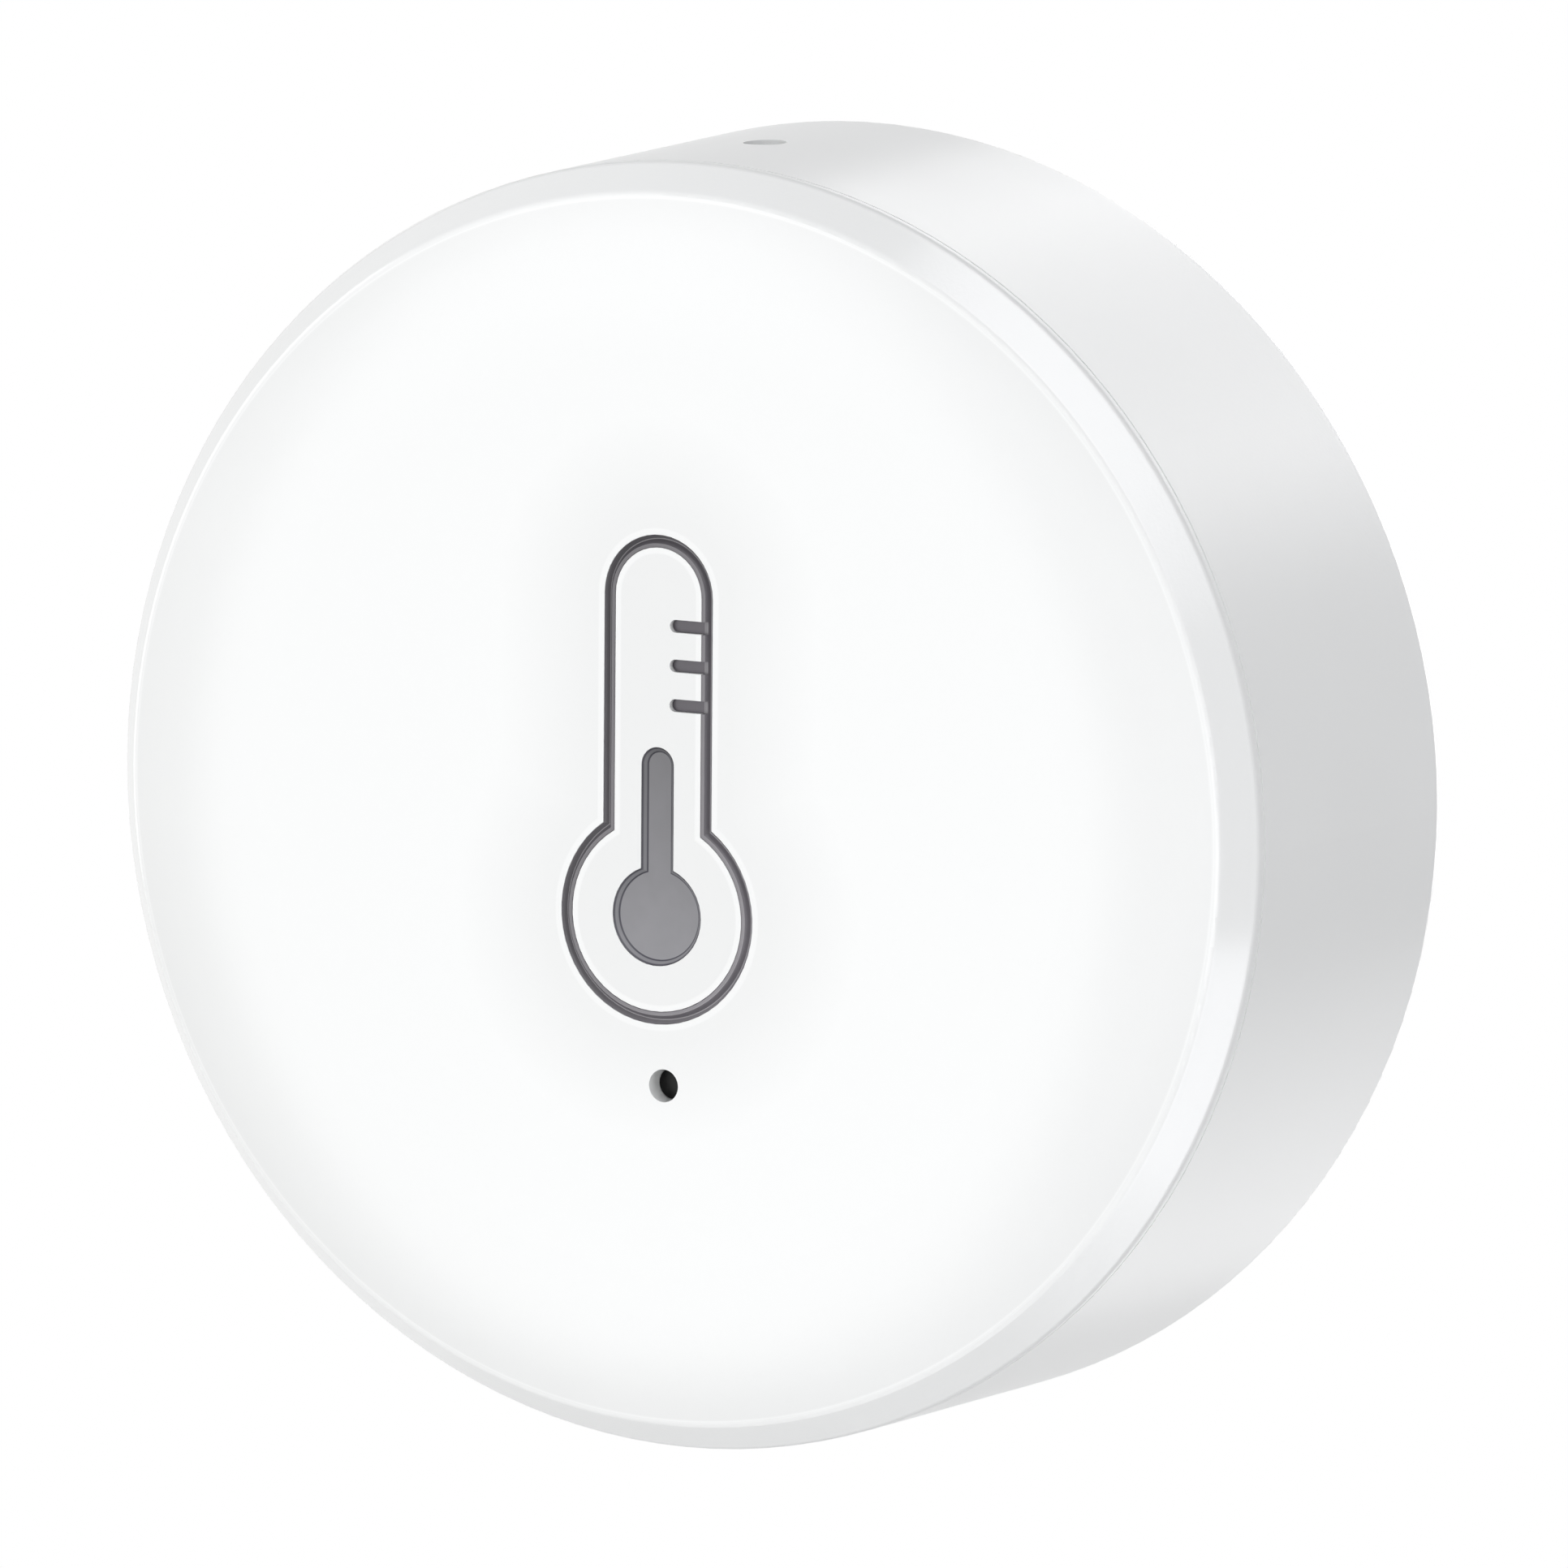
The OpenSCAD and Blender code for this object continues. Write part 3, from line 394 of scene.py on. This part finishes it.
def circuit(name, track_mm=2.6, via_mm=3.1, patch_mm=6, depth_mm=0.02):
    """Solder mask over copper traces, with bare gold vias."""
    made, tree, shader = material(name, Coat_Weight=0.3, Coat_Roughness=0.15)
    tracks = cells(tree, track_mm, "DISTANCE_TO_EDGE")
    vias = cells(tree, via_mm, "F1", randomness=0.8)
    clouds = noise(tree, patch_mm, detail=3)
    mask = mix(tree, clouds, (0.006, 0.055, 0.022), (0.008, 0.068, 0.028))
    under = ramp(tree, tracks, [(0.03, (1, 1, 1)), (0.05, (0, 0, 0))])
    over = mix(tree, under, mask, (0.018, 0.115, 0.045))
    spot = ramp(tree, vias, [(0.07, (1, 1, 1)), (0.09, (0, 0, 0))])
    wire(
        tree,
        shader,
        Base_Color=mix(tree, spot, over, (0.62, 0.42, 0.12)),
        Metallic=spot,
        Roughness=spread(tree, clouds, 0.32, 0.42, 0.3, 0.7),
        Normal=bump(tree, under, depth_mm),
    )
    return made


FILM_BLUE = (0.02, 0.09, 0.14)
FILM_PALE = (0.75, 0.76, 0.74)
FILM_DARK = (0.04, 0.04, 0.045)


def film(name, patch_mm=4, wrinkle_mm=1.4, depth_mm=0.015):
    """Shrink film on a cell: a plain colour with a pale ring near the positive end."""
    made, tree, shader = material(name, Coat_Weight=0.4, Coat_Roughness=0.12)
    where = add(tree, "ShaderNodeAttribute", attribute_name="along").outputs["Fac"]
    clouds = noise(tree, patch_mm, detail=3)
    rings = [
        (0.0, FILM_BLUE),
        (0.76, FILM_BLUE),
        (0.77, FILM_PALE),
        (0.80, FILM_PALE),
        (0.81, FILM_DARK),
    ]
    band = ramp(tree, where, rings)
    shade = ramp(tree, clouds, [(0.3, grey(0.88)), (0.7, grey(1.0))])
    wrinkles = noise(tree, wrinkle_mm, detail=3, stretch=(0.25, 1, 1))
    wire(
        tree,
        shader,
        Base_Color=times(tree, band, shade),
        Roughness=spread(tree, clouds, 0.28, 0.4, 0.3, 0.7),
        Normal=bump(tree, wrinkles, depth_mm),
    )
    return made


# Bulb radius, tube radius and top of the inlays, and their grey from inside (0) to the edge (1):
# their own grey in the middle, and painted shade lines and painted highlight lines where their
# edges and bevels are
OUTLINE = (OUTLINE_BULB_R, OUTLINE_TUBE_R, OUTLINE_TOP)
OUTLINE_EDGE_SHADING = (
    (0.0, 0.048), (0.13, 0.048), (0.14, 0.045), (0.18, 0.06), (0.2, 0.125),
    (0.36, 0.125), (0.39, 0.19), (0.43, 0.1), (0.67, 0.1), (0.71, 0.19),
    (0.74, 0.14), (0.94, 0.14), (0.97, 0.07), (1.0, 0.07),
)
FLUID = (FLUID_BULB_R, FLUID_STEM_R, FLUID_TOP)
FLUID_EDGE_SHADING = (
    (0.0, 0.245), (0.24, 0.245), (0.28, 0.06), (0.42, 0.06),
    (0.46, 0.26), (0.72, 0.27), (0.8, 0.09), (1.0, 0.07),
)
MADE = (
    shell("shell_white", (0.95, 0.958, 0.955), (0.966, 0.974, 0.971), rough=0.3),
    moulded("plate_white", grey(0.76), grey(0.80), rough=0.5, grain_mm=0.3, depth_mm=0.012),
    inlay(
        "inlay_dark",
        OUTLINE,
        reach_mm=0.75,
        stops=OUTLINE_EDGE_SHADING,
        rough=0.42,
        tint=(0.002, -0.004, 0.006),
        # painted light: lighter to the right, darker going up
        painted_light_slope=(1.3, 0.068, -0.024),
    ),
    inlay(
        "inlay_mid",
        FLUID,
        reach_mm=0.4,
        stops=FLUID_EDGE_SHADING,
        rough=0.4,
        tint=(0.0, -0.002, 0.016),
        # painted light: darker going up
        painted_light_slope=(0.65, 0.0, -0.039),
    ),
    moulded(
        "pipe_smoked",
        grey(0.005),
        grey(0.01),
        rough=0.3,
        patch_mm=0.4,
        depth_mm=0.001,
        Specular_IOR_Level=0.1,
    ),
    foam("pad_foam"),
    moulded("frame_dark", grey(0.028), grey(0.038), rough=0.5, grain_mm=0.25, depth_mm=0.015),
    circuit("board_green"),
    brushed("screw_steel", grey(0.5), grey(0.6), rough=0.3, stretch=(1, 0.2, 1)),
    brushed("sheet_steel", grey(0.58), grey(0.68), rough=0.32, stretch=(1, 1, 0.08)),
    brushed("spring_steel", grey(0.52), grey(0.62), rough=0.26, stretch=(0.3, 1, 1)),
    moulded("chip_black", grey(0.012), grey(0.02), rough=0.55, patch_mm=1, grain_mm=0.06),
    moulded(
        "part_tan", (0.32, 0.22, 0.12), (0.40, 0.28, 0.16), rough=0.45, patch_mm=0.6, grain_mm=0.06
    ),
    moulded("sensor_white", grey(0.72), grey(0.8), rough=0.5, patch_mm=0.5, grain_mm=0.05),
    moulded(
        "lens_clear",
        (0.7, 0.75, 0.66),
        (0.78, 0.82, 0.74),
        rough=0.12,
        patch_mm=0.4,
        depth_mm=0.001,
    ),
    moulded("plunger_plastic", grey(0.014), grey(0.022), rough=0.45, patch_mm=1, grain_mm=0.08),
    film("cell_jacket"),
)
MATERIALS = {made.name: made for made in MADE}

for part in frame["record"]["subparts"]:
    mesh = nodes[part["node"]].data
    mesh.materials.clear()
    mesh.materials.append(MATERIALS[part["material_slot"]])


# ---- pieces that stand for soft and wound nodes


def finish_piece(name, bm, body, slot, smooth_deg=40):
    """A mesh piece on a body, smooth apart from edges sharper than smooth_deg."""
    bmesh.ops.recalc_face_normals(bm, faces=bm.faces)
    mesh = bpy.data.meshes.new(name)
    bm.to_mesh(mesh)
    bm.free()
    mesh.shade_smooth()
    mesh.set_sharp_from_angle(angle=math.radians(smooth_deg))
    mesh.materials.append(MATERIALS[slot])
    piece = bpy.data.objects.new(name, mesh)
    scene.collection.objects.link(piece)
    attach(piece, body)
    return piece


def lathe(profile, place_point, steps=96):
    """A solid of revolution: profile points are (along, radius), ends closed on the axis."""
    bm = bmesh.new()
    rings = []
    for along, radius in profile:
        if radius == 0:
            rings.append([bm.verts.new(place_point(along, 0, 0))])
        else:
            turns = [2 * math.pi * i / steps for i in range(steps)]
            spots = [(radius * math.cos(t), radius * math.sin(t)) for t in turns]
            rings.append([bm.verts.new(place_point(along, a, b)) for a, b in spots])
    for first, second in zip(rings, rings[1:]):
        for i in range(steps):
            j = (i + 1) % steps
            corners = [first[i % len(first)], second[i % len(second)]]
            corners += [second[j % len(second)], first[j % len(first)]]
            unique = list(dict.fromkeys(corners))
            if len(unique) > 2:
                bm.faces.new(unique)
    return bm


def spring(name, side, height, body="sensor", rings=36, sides=12):
    """A coil that narrows from its contact plate to its cell."""
    bm = bmesh.new()
    steps = COIL_TURNS * rings

    def centre(i):
        part = i / steps
        turn = 2 * math.pi * COIL_TURNS * part
        radius = (COIL_D + (COIL_TOP_D - COIL_D) * part) / 2
        along = WIRE_D / 2 + (SPRING_LEN - WIRE_D) * part
        return Vector((radius * math.cos(turn), radius * math.sin(turn), along))

    loops = []
    for i in range(steps + 1):
        ahead = (centre(i + 1) - centre(i - 1)).normalized()
        across = ahead.cross(Vector((0, 0, 1))).normalized()
        over = across.cross(ahead)
        loop = []
        for k in range(sides):
            turn = 2 * math.pi * k / sides
            p = centre(i) + WIRE_D / 2 * (math.cos(turn) * across + math.sin(turn) * over)
            loop.append(
                bm.verts.new(
                    (side * (CONTACT_X - p.z) * MM, -(CELL_Z + p.x) * MM, (p.y + height) * MM)
                )
            )
        loops.append(loop)
    for first, second in zip(loops, loops[1:]):
        for k in range(sides):
            j = (k + 1) % sides
            bm.faces.new((first[k], first[j], second[j], second[k]))
    bm.faces.new(loops[0])
    bm.faces.new(loops[-1])
    return finish_piece(name, bm, body, "spring_steel")


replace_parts(spring("negative_coil", -1, CELL_Y), "negative_spring")
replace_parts(spring("bridge_coil", 1, -CELL_Y), "bridge_spring")


# Sections of a cell's can and of its film, as (along, radius) in millimetres
CAN = (
    (0.0, 0), (0.0, 3.3), (0.08, 3.5), (0.3, 3.62), (0.34, 3.75), (0.34, 4.35),
    (0.3, 4.6), (0.42, 4.95), (0.75, 5.1), (42.6, 5.1), (42.95, 5.0), (43.15, 4.7),
    (43.1, 4.3), (43.1, 2.7), (43.14, 2.5), (43.3, 2.35), (43.42, 2.2), (43.44, 1.98),
    (43.55, 1.9), (44.2, 1.9), (44.38, 1.82), (44.47, 1.68), (44.5, 1.5), (44.5, 0),
)
WRAP = (
    (0.3, 4.45), (0.2, 4.6), (0.22, 4.95), (0.42, 5.17), (0.7, 5.25), (42.7, 5.25),
    (43.1, 5.17), (43.32, 4.95), (43.4, 4.6), (43.3, 4.4), (43.2, 4.6), (43.12, 4.95),
    (42.7, 5.12), (0.75, 5.12), (0.5, 5.0), (0.4, 4.7), (0.3, 4.45),
)
WELD = 1e-7


def dressed_cell(name, node, side, height):
    """A steel can with its crimped ends, and the shrink film round it."""

    def point(along, a, b):
        return (side * (CELL_FOOT_X + along) * MM, -(CELL_Z + a) * MM, (height + b) * MM)

    steel = finish_piece(name + "_can", lathe(CAN, point), "sensor", "sheet_steel")
    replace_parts(steel, node)
    sleeve = lathe(WRAP, point)
    bmesh.ops.remove_doubles(sleeve, verts=sleeve.verts, dist=WELD)
    piece = finish_piece(name + "_film", sleeve, "sensor", "cell_jacket", smooth_deg=60)
    along = piece.data.attributes.new("along", "FLOAT", "POINT")
    foot = side * CELL_FOOT_X * MM
    along.data.foreach_set(
        "value", [abs(v.co.x - foot) / (CELL_LEN * MM) for v in piece.data.vertices]
    )


dressed_cell("upper_battery", "upper_cell", 1, CELL_Y)
dressed_cell("lower_battery", "lower_cell", -1, -CELL_Y)


# Section of the pad's edge, as (height, inset from the radius) in millimetres
PAD_EDGE = (
    (0.0, 0.25), (0.06, 0.1), (0.22, 0.02), (0.4, 0), (0.58, 0.02), (0.74, 0.1), (PAD_T, 0.25),
)


def foam_disc():
    """The adhesive pad, with an edge that bulges a little."""
    rim = [(along, PAD_R - inset) for along, inset in PAD_EDGE]
    section = [(0.0, 0), *rim, (PAD_T, 0)]
    bm = lathe(section, lambda along, a, b: (a * MM, -along * MM, b * MM), steps=128)
    pad = finish_piece("foam_disc", bm, "mount", "pad_foam", smooth_deg=50)
    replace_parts(pad, "adhesive_pad")


foam_disc()


def snap_dome(steps=10):
    """The switch's sheet metal dome, made as a rigid lathed shell."""

    def arc(bend, reach):
        turns = [reach * i / steps for i in range(steps + 1)]
        return [(bend * math.cos(t), bend * math.sin(t)) for t in turns]

    radius = ((DOME_D / 2) ** 2 + DOME_H**2) / (2 * DOME_H)
    outer = arc(radius, math.asin(DOME_D / 2 / radius))
    inner_r = radius - DOME_T
    inner = arc(inner_r, math.acos((radius - DOME_H) / inner_r))[::-1]
    drop = DOME_H - radius
    profile = [(along + drop, r) for along, r in outer + inner]
    profile[0] = (profile[0][0], 0)
    profile[-1] = (profile[-1][0], 0)

    def point(along, a, b):
        return ((a + RESET_X) * MM, (b - RESET_Z) * MM, (DOME_Y + along) * MM)

    dome = finish_piece("snap_dome", lathe(profile, point, steps=64), "sensor", "spring_steel")
    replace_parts(dome, "switch_dome")
    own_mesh(dome)


snap_dome()


# ---- camera, from the photograph's fitted view

FRAME_PX = 1932
SENSOR_MM = 36.0
LENS_MM = 900.0
CLIP_NEAR = 0.1
CLIP_FAR = 20
VIEW_YAW, VIEW_PITCH, VIEW_ROLL = (math.radians(a) for a in (-29.14, 8.21, -0.37))
RIM_CENTRE = Vector((0, -19.6 * MM, 0))
RIM_PX = (849.0, 993.4)
PX_PER_MM = 24.614


def world_axis(row):
    """A camera axis, from right, up and front to the frame's axes."""
    return Vector((row[0], -row[2], row[1]))


turned = (
    Matrix.Rotation(VIEW_ROLL, 3, "Z")
    @ Matrix.Rotation(VIEW_PITCH, 3, "X")
    @ Matrix.Rotation(VIEW_YAW, 3, "Y")
)
view_right, view_up, view_back = (world_axis(turned[i]) for i in range(3))
distance = LENS_MM / SENSOR_MM * FRAME_PX / PX_PER_MM * MM
eye = RIM_CENTRE + distance * view_back
aim = RIM_CENTRE
aim = aim + (FRAME_PX / 2 - RIM_PX[0]) / PX_PER_MM * MM * view_right
aim = aim + (RIM_PX[1] - FRAME_PX / 2) / PX_PER_MM * MM * view_up
back = (eye - aim).normalized()
right = view_up.cross(back).normalized()
up = back.cross(right)
camera_data = bpy.data.cameras.new("camera")
camera_data.lens = LENS_MM
camera_data.sensor_width = SENSOR_MM
camera_data.clip_start = CLIP_NEAR
camera_data.clip_end = CLIP_FAR
camera = bpy.data.objects.new("camera", camera_data)
scene.collection.objects.link(camera)
camera.matrix_world = Matrix(
    (
        (right.x, up.x, back.x, eye.x),
        (right.y, up.y, back.y, eye.y),
        (right.z, up.z, back.z, eye.z),
        (0, 0, 0, 1),
    )
)
scene.camera = camera


# ---- stage

FLOOR_DROP = 0.03
FLOOR_R = 0.068
FLOOR_FADE = 0.02
FLOOR_COLOUR = (0.86, 0.86, 0.86, 1)
AMBIENT = 0.165
MIDDLE = Vector((0, (cad_low.y + cad_high.y) / 2, 0))


def white_rays(tree):
    """1 for rays that should see a white surrounding: camera, glossy and transmission rays."""
    path = add(tree, "ShaderNodeLightPath").outputs
    seen = math_node(tree, "MAXIMUM", path["Is Camera Ray"], path["Is Glossy Ray"])
    return math_node(tree, "MAXIMUM", seen, path["Is Transmission Ray"])


world = bpy.data.worlds.new("studio")
scene.world = world
world.use_nodes = True
sky = world.node_tree
background = sky.nodes["Background"]
background.inputs["Color"].default_value = (1, 1, 1, 1)
sky.links.new(spread(sky, white_rays(sky), AMBIENT, 1.0), background.inputs["Strength"])


def floor_material():
    """Pale floor that keeps the shadow under the object and fades into the white around it."""
    made, tree, shader = material("floor", Base_Color=FLOOR_COLOUR, Roughness=0.8)
    out = tree.nodes["Material Output"]
    away = add(tree, "ShaderNodeVectorMath", {0: place(tree)}, operation="LENGTH").outputs["Value"]
    faded = spread(tree, away, 0.0, 1.0, FLOOR_FADE, FLOOR_R)
    clear = add(tree, "ShaderNodeBsdfTransparent")
    rear = add(tree, "ShaderNodeNewGeometry").outputs["Backfacing"]
    gone = math_node(tree, "MAXIMUM", faded, rear)
    both = add(tree, "ShaderNodeMixShader", {0: gone, 1: shader.outputs[0], 2: clear.outputs[0]})
    tree.links.new(both.outputs[0], out.inputs["Surface"])
    return made


floor_bm = bmesh.new()
bmesh.ops.create_circle(floor_bm, cap_ends=True, segments=96, radius=FLOOR_R)
floor_mesh = bpy.data.meshes.new("floor")
floor_bm.to_mesh(floor_mesh)
floor_bm.free()
floor_mesh.materials.append(floor_material())
floor = bpy.data.objects.new("floor", floor_mesh)
floor.location = (0, MIDDLE.y, cad_low.z - FLOOR_DROP)
scene.collection.objects.link(floor)


LAMP_AWAY = 1.0


def lamp(name, direction, size, power, lean=0.0, colour=(1.0, 1.0, 1.0)):
    """A soft area lamp that looks at the object from a direction in the frame."""
    data = bpy.data.lights.new(name, "AREA")
    data.shape = "RECTANGLE"
    data.size, data.size_y = size
    data.energy = power
    data.color = colour
    made = bpy.data.objects.new(name, data)
    toward = Vector(direction).normalized()
    turn = toward.to_track_quat("Z", "Y") @ Quaternion((0, 0, 1), math.radians(lean))
    made.matrix_world = Matrix.LocRotScale(MIDDLE + LAMP_AWAY * toward, turn, None)
    made.visible_camera = False
    scene.collection.objects.link(made)


COOL = (0.965, 0.97, 1.0)
# Name, direction, width and height in metres, watts, lean in degrees, colour
LAMPS = (
    ("key_left", (-0.6, -1.0, 0.0), (0.6, 1.3), 6.25),
    ("key_right", (0.6, -1.0, 0.0), (0.6, 0.6), 2.95),
    ("side_upper", (0.53, -0.25, 0.81), (0.2, 1.2), 3.25, 0, COOL),
    ("side_lower", (0.63, -0.155, -0.76), (0.14, 1.15), 2.72, 0, COOL),
    ("rear_upper", (0.04, 0.865, 0.43), (0.86, 0.36), 1.41, 9),
    ("rear_lower", (0.1, 0.865, -0.48), (0.55, 0.4), 0.77),
    ("back", (0.0, 1.0, 0.12), (0.6, 0.6), 3.9),
    ("left", (-1.0, 0.0, 0.15), (0.5, 0.8), 2.5),
    ("glint_upper", (0.3, -0.71, 0.635), (0.1, 0.9), 0.6, 40),
    ("glint_lower", (0.4, -0.66, -0.63), (0.25, 0.25), 0.25),
)
for row in LAMPS:
    lamp(*row)
